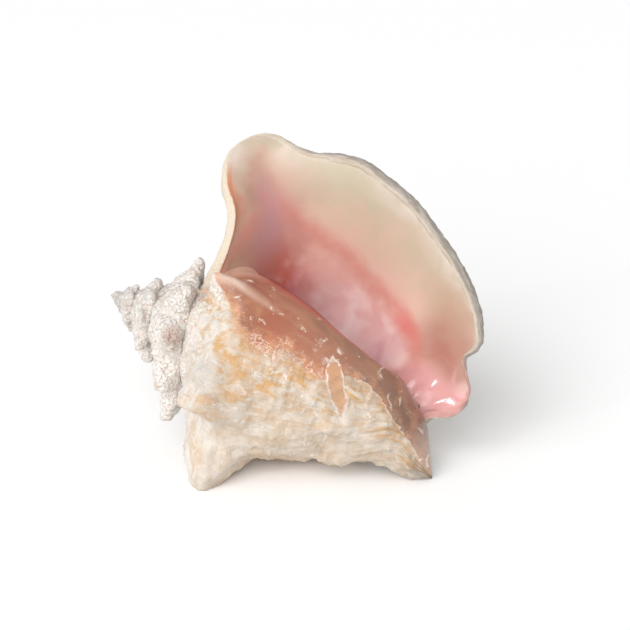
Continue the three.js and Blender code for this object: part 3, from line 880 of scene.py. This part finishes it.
def clamp_to_box(mesh):
    """Wears the resting points down to the table, and keeps the skin inside the CAD box."""
    low, high = (np.array(corner, float) for corner in cad_box)
    points = np.empty(len(mesh.vertices) * 3)
    mesh.vertices.foreach_get("co", points)
    points = np.clip(points.reshape(-1, 3), low, high)
    mesh.vertices.foreach_set("co", points.ravel())
    mesh.update()


def colour(red, green, blue):
    """Linear colour of an sRGB colour given from 0 to 255."""
    values = np.array([red, green, blue]) / 255
    linear = np.where(values < 0.04045, values / 12.92, ((values + 0.055) / 1.055) ** 2.4)
    return (*linear.tolist(), 1)


class Value:
    """An output of a material's nodes. Arithmetic on it adds the nodes that work it out."""

    def __init__(self, look, socket):
        self.look = look
        self.socket = socket

    def __add__(self, other):
        return self.look.math("ADD", self, other)

    def __sub__(self, other):
        return self.look.math("SUBTRACT", self, other)

    def __rsub__(self, other):
        return self.look.math("SUBTRACT", other, self)

    def __mul__(self, other):
        return self.look.math("MULTIPLY", self, other)

    def __truediv__(self, other):
        return self.look.math("DIVIDE", self, other)

    def __abs__(self):
        return self.look.math("ABSOLUTE", self)

    def band(self, low, high, start=0, end=1):
        """Smooth step from start, where the value is low, to end, where it is high."""
        inputs = {"Value": self, "From Min": low, "From Max": high, "To Min": start, "To Max": end}
        return self.look.made("ShaderNodeMapRange", "Result", inputs, interpolation_type="SMOOTHSTEP")


class Look:
    """A material's nodes, built by short calls that give values."""

    def __init__(self, name):
        self.material = bpy.data.materials.new(name)
        self.material.use_nodes = True
        self.tree = self.material.node_tree
        object_place = self.made("ShaderNodeTexCoord", "Object", {})
        self.place = self.vector("MULTIPLY", "Vector", object_place, (1000, 1000, 1000))

    def set(self, node, inputs):
        for name, value in inputs.items():
            if isinstance(value, Value):
                self.tree.links.new(value.socket, node.inputs[name])
            else:
                node.inputs[name].default_value = value

    def made(self, kind, output, inputs, **settings):
        """Adds a node with its settings and inputs, and gives one of its outputs."""
        node = self.tree.nodes.new(kind)
        for name, value in settings.items():
            setattr(node, name, value)
        self.set(node, inputs)
        return Value(self, node.outputs[output])

    def fact(self, name):
        return self.made("ShaderNodeAttribute", "Fac", {}, attribute_name=name)

    def math(self, operation, *values):
        return self.made("ShaderNodeMath", 0, dict(enumerate(values)), operation=operation)

    def larger(self, first, second):
        return self.math("MAXIMUM", first, second)

    def vector(self, operation, output, *values):
        return self.made("ShaderNodeVectorMath", output, dict(enumerate(values)), operation=operation)

    def combine(self, x, y):
        return self.made("ShaderNodeCombineXYZ", 0, {"X": x, "Y": y})

    def grown(self, along=1, across=1):
        """Place by growth angle and column, each scaled, for patterns that follow the growth."""
        return self.combine(self.fact("angle") * along, self.fact("column") * across)

    def noise(self, size, detail=3, roughness=0.5, distortion=0, place=None):
        """Noise from 0 to 1 with lumps of a size in millimetres, or in the units of a given place."""
        return self.made("ShaderNodeTexNoise", "Fac", {
            "Vector": place or self.place, "Scale": 1 / size, "Detail": detail,
            "Roughness": roughness, "Distortion": distortion})

    def cells(self, size):
        """Distance from the middle of round cells of a size in millimetres."""
        return self.made("ShaderNodeTexVoronoi", "Distance", {"Vector": self.place, "Scale": 1 / size})

    def mix(self, share, first, second):
        """Blends two colours by a share, each of them a value or an sRGB triple."""
        first, second = (colour(*one) if isinstance(one, tuple) else one for one in (first, second))
        return self.made("ShaderNodeMix", "Result", {"Factor": share, "A": first, "B": second},
                         data_type="RGBA")

    def layered(self, shade, layers):
        """Lays colours over a shade one after another, each of them by its share."""
        for share, tone in layers:
            shade = self.mix(share, shade, tone)
        return shade

    def ramp(self, value, stops):
        """Colours at stops of a value."""
        low = stops[0][0]
        high = stops[-1][0]
        node = self.tree.nodes.new("ShaderNodeValToRGB")
        elements = node.color_ramp.elements
        while len(elements) < len(stops):
            elements.new(0.5)
        for element, (at, shade) in zip(elements, stops):
            element.position = (at - low) / (high - low)
            element.color = colour(*shade)
        self.set(node, {"Fac": (value - low) / (high - low)})
        return Value(self, node.outputs["Color"])

    def spot(self, centre, reach, place=None):
        """1 in the middle of a soft spot, 0 beyond its reach, by angle and column or a given place."""
        away = self.vector("SUBTRACT", "Vector", place or self.grown(), (*centre, 0))
        scaled = self.vector("DIVIDE", "Vector", away, (*reach, 1))
        return self.vector("LENGTH", "Value", scaled).band(1, 0)


def spire_colour(look):
    """Chalky white grains, with pale grey and pinkish brown in the hollows between them and in low places:
    partly the crust's own colour there, partly painted shade in the hollows.
    """
    chalk = look.mix(look.noise(9, 4), CHALK_DULL, CHALK_BRIGHT)
    painted_hollow_shade = look.mix(look.noise(12, 3).band(0.4, 0.62), HOLLOW_SHADE_GREY, HOLLOW_PINK_SHADE)
    # Painted shade: the gaps between grains and the low places of the relief are darkened towards the hollow
    # colours
    grain_gap_shade = look.cells(CELL_SIZE).band(0.5, 0.9, 0, 0.3)
    low = look.fact("height").band(0.1, -1.6, 0, 0.6)
    pit = look.spot(PIT, PIT_REACH) * 0.8
    specks = look.noise(1.6, 4, 0.7).band(0.58, 0.72, 0, 0.4)
    return look.layered(chalk, [
        (grain_gap_shade, painted_hollow_shade), (low, painted_hollow_shade), (pit, PIT_TONE), (specks, CHALK_SPECK),
    ])


def thin_lines(look, size, width):
    """1 along thin winding lines, where a noise passes its middle value."""
    return abs(look.noise(size, 4, 0.6, 0.8) - 0.5).band(width, width * 0.3)


def stained(look, reach, patchy):
    """Share of the yellow-orange stains: patches that thicken by the glaze, and the larger stains."""
    share = patchy.band(0.46, 0.6) * (reach.band(-48, -8) * 0.7 + 0.16)
    broken = patchy.band(0.34, 0.6, 0.25, 1.25)
    for centre, stain_reach, strength in BODY_STAINS:
        share = look.larger(share, look.spot(centre, stain_reach) * strength * broken)
    return share


def body_colour(look):
    """Ivory wall, stained, tinted orange beneath as a painted warm bounce onto the floor, streaked along the
    growth lines, bleached at the shoulder, with flakes.
    """
    reach = look.fact("glaze")
    patchy = look.noise(1, 6, 0.66, 0.8, look.grown(*PATCH_STRETCH))
    streaky = look.noise(1, 5, 0.65, 0.3, look.grown(*STREAK_STRETCH))
    # Painted warm bounce: orange underneath, for warmer light on the floor below
    warm_bounce = look.spot(WARM_BOUNCE, WARM_BOUNCE_REACH) * 0.8
    worn = look.noise(9, 5, 0.65).band(0.56, 0.7, 0, 0.6)
    bleached = look.fact("column").band(0.4, 0.29, 0, 0.7) * patchy.band(0.62, 0.4)
    flakes = thin_lines(look, 14, 0.018) * look.noise(19, 3).band(0.5, 0.64, 0, 0.7)
    specks = look.noise(1.3, 4, 0.75).band(0.6, 0.74, 0, 0.5)
    veil = reach.band(-15, -1) * look.noise(7, 5, 0.6).band(0.35, 0.6, 0.1, 0.75)
    return look.layered(look.ramp(look.noise(13, 6, 0.62), IVORY), [
        (stained(look, reach, patchy), STAIN_TONE), (warm_bounce, WARM_BOUNCE_TONE),
        (streaky.band(0.48, 0.7, 0, 0.5), STREAK_TONE), (look.larger(worn, bleached), WORN_TONE),
        (flakes, FLAKE_TONE), (specks, SPECK_TONE), (veil, VEIL_TONE),
    ])


def glaze_colour(look):
    """Orange-brown glaze beside the aperture, grey-brown towards the canal, with pale scratches."""
    column = look.fact("column")
    wavy = column + look.noise(26, 3) * 0.16
    saddle = look.fact("angle").band(-304, -310) * wavy.band(0.62, 0.46)
    clouds = look.noise(13, 4, 0.55, 0.5).band(0.42, 0.66, 0, 0.5)
    near_edge = look.fact("glaze").band(12.5, 4)
    orange = near_edge * look.noise(11, 5, 0.6).band(0.42, 0.64, 0, 0.7) * column.band(0.85, 0.7, 0.25, 1)
    scratched = near_edge * column.band(0.72, 0.6, 0.2, 1) * column.band(0.38, 0.45, 0.4, 1)
    flecks = look.noise(2.8, 6, 0.75, 1.4).band(0.53, 0.63)
    scratches = thin_lines(look, 9, 0.03) * look.noise(8, 3).band(0.45, 0.55)
    marks = look.larger(flecks, scratches) * scratched * 0.7
    return look.layered(look.ramp(wavy, GLAZE), [
        (saddle, SADDLE_TONE), (clouds, GLAZE_TAN), (orange, GLAZE_ORANGE), (marks, FLECK_TONE),
    ])


def with_scar(look, shade):
    """Lays the long orange scar and its broken white outline over the glaze."""
    angle = look.fact("angle")
    slanted = look.fact("column") - (angle - SCAR[0]) * SCAR_SLANT
    ragged = look.noise(9, 5, 0.65, 0.6) * 1.5 - 0.8
    inside = look.spot(SCAR, SCAR_REACH, look.combine(angle, slanted)) + ragged
    outline = inside.band(0.08, 0.2) * inside.band(0.42, 0.26)
    outline = outline * look.noise(4, 3).band(0.38, 0.55, 0.25, 0.9)
    return look.layered(shade, [(inside.band(0.16, 0.5, 0, 0.8), SCAR_TONE), (outline, SCAR_OUTLINE)])


def salmon_stripe(look, back, column):
    """Share of the bowed stripe that crosses the aperture."""
    aside = column - STRIPE_COLUMN
    middle = aside * aside * -STRIPE_BOW + STRIPE_BACK
    away = abs(back - middle) + look.noise(14, 4) * 12
    return away.band(19, 6) * look.noise(12, 4).band(0.3, 0.6, 0.35, 0.7)


def aperture_clouds(look, depth):
    """Layers of greenish beige clouds near the edge, and of pale and mauve ones in the pink."""
    deep = depth.band(54, 74)
    margin = depth.band(42, 14) * look.noise(17, 4, 0.5, 0.8).band(0.44, 0.66, 0, 0.6)
    pale = deep * look.noise(18, 2, 0.4, 0.6).band(0.45, 0.8, 0, 0.6)
    mauve = deep * look.noise(14, 2, 0.4, 0.5).band(0.5, 0.8, 0, 0.5)
    return [(margin, MARGIN_CLOUD), (pale, PALE_CLOUD), (mauve, MAUVE_CLOUD)]


def aperture_colour(look):
    """Cream at the edge, then peach, a salmon stripe and pink, and brick red down in the throat; darker at
    the posterior end, its own tan and mauve with painted shade.
    """
    back = look.fact("back")
    column = look.fact("column")
    depth = back + look.noise(26, 4) * 24 - 12
    wave = look.noise(15, 4) * 0.8 - 0.4
    # Painted shade: the posterior end, a hollow channel under the lobe, takes its own darker ramp
    posterior_shaded = (column + wave * 0.14).band(0.36, 0.14)
    shade = look.mix(posterior_shaded, look.ramp(depth, APERTURE), look.ramp(depth, POSTERIOR_END_SHADED))
    layers = aperture_clouds(look, depth)
    layers.append((salmon_stripe(look, back, column), STRIPE_TONE))
    place = look.combine(back + wave * 20, column + wave * 0.1)
    for centre, reach, tint, strength in APERTURE_PATCHES:
        layers.append((look.spot(centre, reach, place) * strength, tint))
    orange_line = abs(back - ORANGE_LINE_BACK).band(2, 0.6) * column.band(0.16, 0.11, 0, 0.95)
    layers += [(orange_line, ORANGE_LINE_TONE), (column.band(0.84, 0.88), LOBE_TONE)]
    return look.layered(shade, layers)


def wall_colour(look, glaze):
    """Inside the aperture, the wall of the turn before reddens with depth, and stays pale at its top."""
    back = look.fact("back")
    at_top = look.fact("column").band(0.56, 0.47)
    red = look.mix(at_top, look.ramp(back, WALL), WALL_TOP)
    return look.mix(back.band(2, 22), glaze, red)


def rim_colour(look):
    """Thin rough layers of the lip's edge: painted shade in grey over the edge itself, beige within, chalky
    at its top.
    """
    column = look.fact("column")
    across = look.fact("share") * 7 + look.fact("back")
    thin = look.noise(1, 5, 0.65, 0.5, look.combine(across * 0.5, column * 22))
    beige = look.mix(thin.band(0.35, 0.65), *RIM_BEIGE)
    grey = look.mix(thin.band(0.4, 0.65), *RIM_SHADE_GREY)
    # Painted shade: the edge, turned away from the lights, is greyed over the lip's middle and front
    edge_shade = (across + look.noise(9, 4) * 3 - 1.5).band(8.4, 6.6) * column.band(0.24, 0.34)
    return look.layered(beige, [
        (edge_shade * 0.9, grey), (column.band(0.3, 0.2), RIM_CHALK), (column.band(0.8, 0.85), RIM_PINK),
    ])


def shell_height(look, glazed, crust, inner):
    """Fine relief in millimetres: spiral and growth lines, grit and pits; the glaze is nearly smooth."""
    spiral = look.noise(1.5, 5, 0.65, 0.5, look.grown(*SPIRAL_LINE_STRETCH))
    lines = look.noise(1.2, 3, 0.6, 0.3, look.grown(*GROWTH_LINE_STRETCH))
    grit = look.noise(1.6, 6, 0.75)
    pits = look.cells(CELL_SIZE).band(0.35, 0.9, 0.4, -0.8)
    rough = spiral * 0.9 + lines + grit * 0.9 - 1.4 + pits * crust
    matte = 1 - look.larger(glazed, inner)
    return rough * matte + look.noise(5, 2) * 0.08


def glaze_shares(look):
    """Shares of the glaze and of the thin pale line along its edge."""
    column = look.fact("column")
    reach = look.fact("glaze") + look.noise(8, 6, 0.65) * 18 - 9
    glazed = (reach / column.band(0.55, 0.72, 5, 1.2)).band(-1, 1)
    line = reach.band(-1.4, -0.3) * reach.band(0.9, 0.3) * column.band(0.66, 0.78, 0, 0.5)
    return glazed, line


def rim_shares(look):
    """Shares of the lip's rim, of all that lies inside it, and of the dark crease between them."""
    column = look.fact("column")
    back = look.fact("back")
    share = look.fact("share")
    on_lip = look.fact("side").band(1.3, 1)
    reach = abs(column - RIM_MIDDLE).band(*RIM_FADE, RIM_NARROW, RIM_WIDE)
    reach = reach + look.noise(5, 4) * 1.2 - 0.6
    rim = share.band(0.02, 0.12) * on_lip * (back - reach).band(0.25, -0.25)
    inside_edge = share.band(0.8, 0.97)
    crease = abs(back - reach).band(0.4, 0.1) * look.noise(12, 3).band(0.44, 0.56, 0, 0.6)
    crease = crease * inside_edge * on_lip * column.band(0.26, 0.34)
    return rim, inside_edge * (1 - rim), crease


def shell_material():
    """Crusted spire, worn body, glaze, aperture and rim, laid over each other by where they grow."""
    look = Look("conch_shell")
    crust = look.fact("crust")
    glazed, glaze_line = glaze_shares(look)
    rim, inner, crease = rim_shares(look)

    outside_shade = look.mix(crust, body_colour(look), spire_colour(look))
    glaze = look.layered(outside_shade, [(glazed, glaze_colour(look)), (glaze_line, GLAZE_LINE_TONE)])
    glaze = with_scar(look, glaze)
    on_wall = look.fact("side").band(1.2, 1.8)
    inner_shade = look.mix(on_wall, aperture_colour(look), wall_colour(look, glaze))
    shade = look.layered(glaze, [(inner, inner_shade), (rim, rim_colour(look)), (crease, CREASE_TONE)])

    gloss = look.fact("column").band(0.8, 0.88, GLAZE_ROUGHNESS, LOBE_ROUGHNESS)
    roughness = look.larger(glazed, inner).band(0, 1, CHALK_ROUGHNESS, gloss) + look.noise(6, 4) * 0.1
    relief_inputs = {"Distance": 0.001, "Height": shell_height(look, glazed, crust, inner)}
    normal = look.made("ShaderNodeBump", "Normal", relief_inputs)
    shader = look.tree.nodes["Principled BSDF"]
    look.set(shader, {"Base Color": shade, "Roughness": roughness, "Normal": normal})
    look.set(shader, TRANSLUCENCE)
    return look.material


def add_object(name, data):
    thing = bpy.data.objects.new(name, data)
    bpy.context.scene.collection.objects.link(thing)
    return thing


def build_shell():
    mesh = shell_mesh()
    clamp_to_box(mesh)
    mesh.shade_smooth()
    mesh.materials.append(shell_material())
    shell = add_object("shell_visual", mesh)
    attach(shell, "root")
    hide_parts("shell")


def add_camera():
    rise = math.radians(CAMERA_RISE)
    back = Vector((0, -math.cos(rise), math.sin(rise)))
    aim = Vector((AIM[0] - BOX_CENTRE[0], AIM[1] - BOX_CENTRE[1], AIM[2] + TABLE_DROP)) / 1000
    data = bpy.data.cameras.new("camera")
    data.lens = LENS
    data.sensor_width = SENSOR
    camera = add_object("camera", data)
    camera.location = aim + back * CAMERA_DISTANCE / 1000
    camera.rotation_euler = (math.radians(90 - CAMERA_RISE), 0, 0)
    bpy.context.scene.camera = camera


def add_floor():
    mesh = bpy.data.meshes.new("floor")
    half = FLOOR_HALF
    corners = [(-half, -half, 0), (half, -half, 0), (half, half, 0), (-half, half, 0)]
    mesh.from_pydata(corners, [], [(0, 1, 2, 3)])
    material = bpy.data.materials.new("floor_paper")
    material.use_nodes = True
    shader = material.node_tree.nodes["Principled BSDF"]
    shader.inputs["Base Color"].default_value = (FLOOR_TONE, FLOOR_TONE, FLOOR_TONE, 1)
    shader.inputs["Roughness"].default_value = FLOOR_ROUGHNESS
    mesh.materials.append(material)
    floor = add_object("floor", mesh)


def add_light(kind, name, location, strength, width):
    """Light at a place, shining towards the shell's middle."""
    data = bpy.data.lights.new(name, kind)
    data.energy = strength
    if kind == "SUN":
        data.angle = math.radians(width)
    else:
        data.shape = "DISK"
        data.size = width
    light = add_object(name, data)
    light.location = location
    towards = Vector(SHELL_MIDDLE) - Vector(location)
    light.rotation_euler = towards.to_track_quat("-Z", "Y").to_euler()


def add_lights():
    for light in LIGHTS:
        add_light(*light)
    world = bpy.data.worlds.new("studio")
    world.use_nodes = True
    background = world.node_tree.nodes["Background"]
    background.inputs["Color"].default_value = (1, 1, 1, 1)
    background.inputs["Strength"].default_value = ROOM_LIGHT
    bpy.context.scene.world = world
    bpy.context.scene.view_settings.view_transform = "Standard"


build_shell()
add_floor()
add_lights()
add_camera()
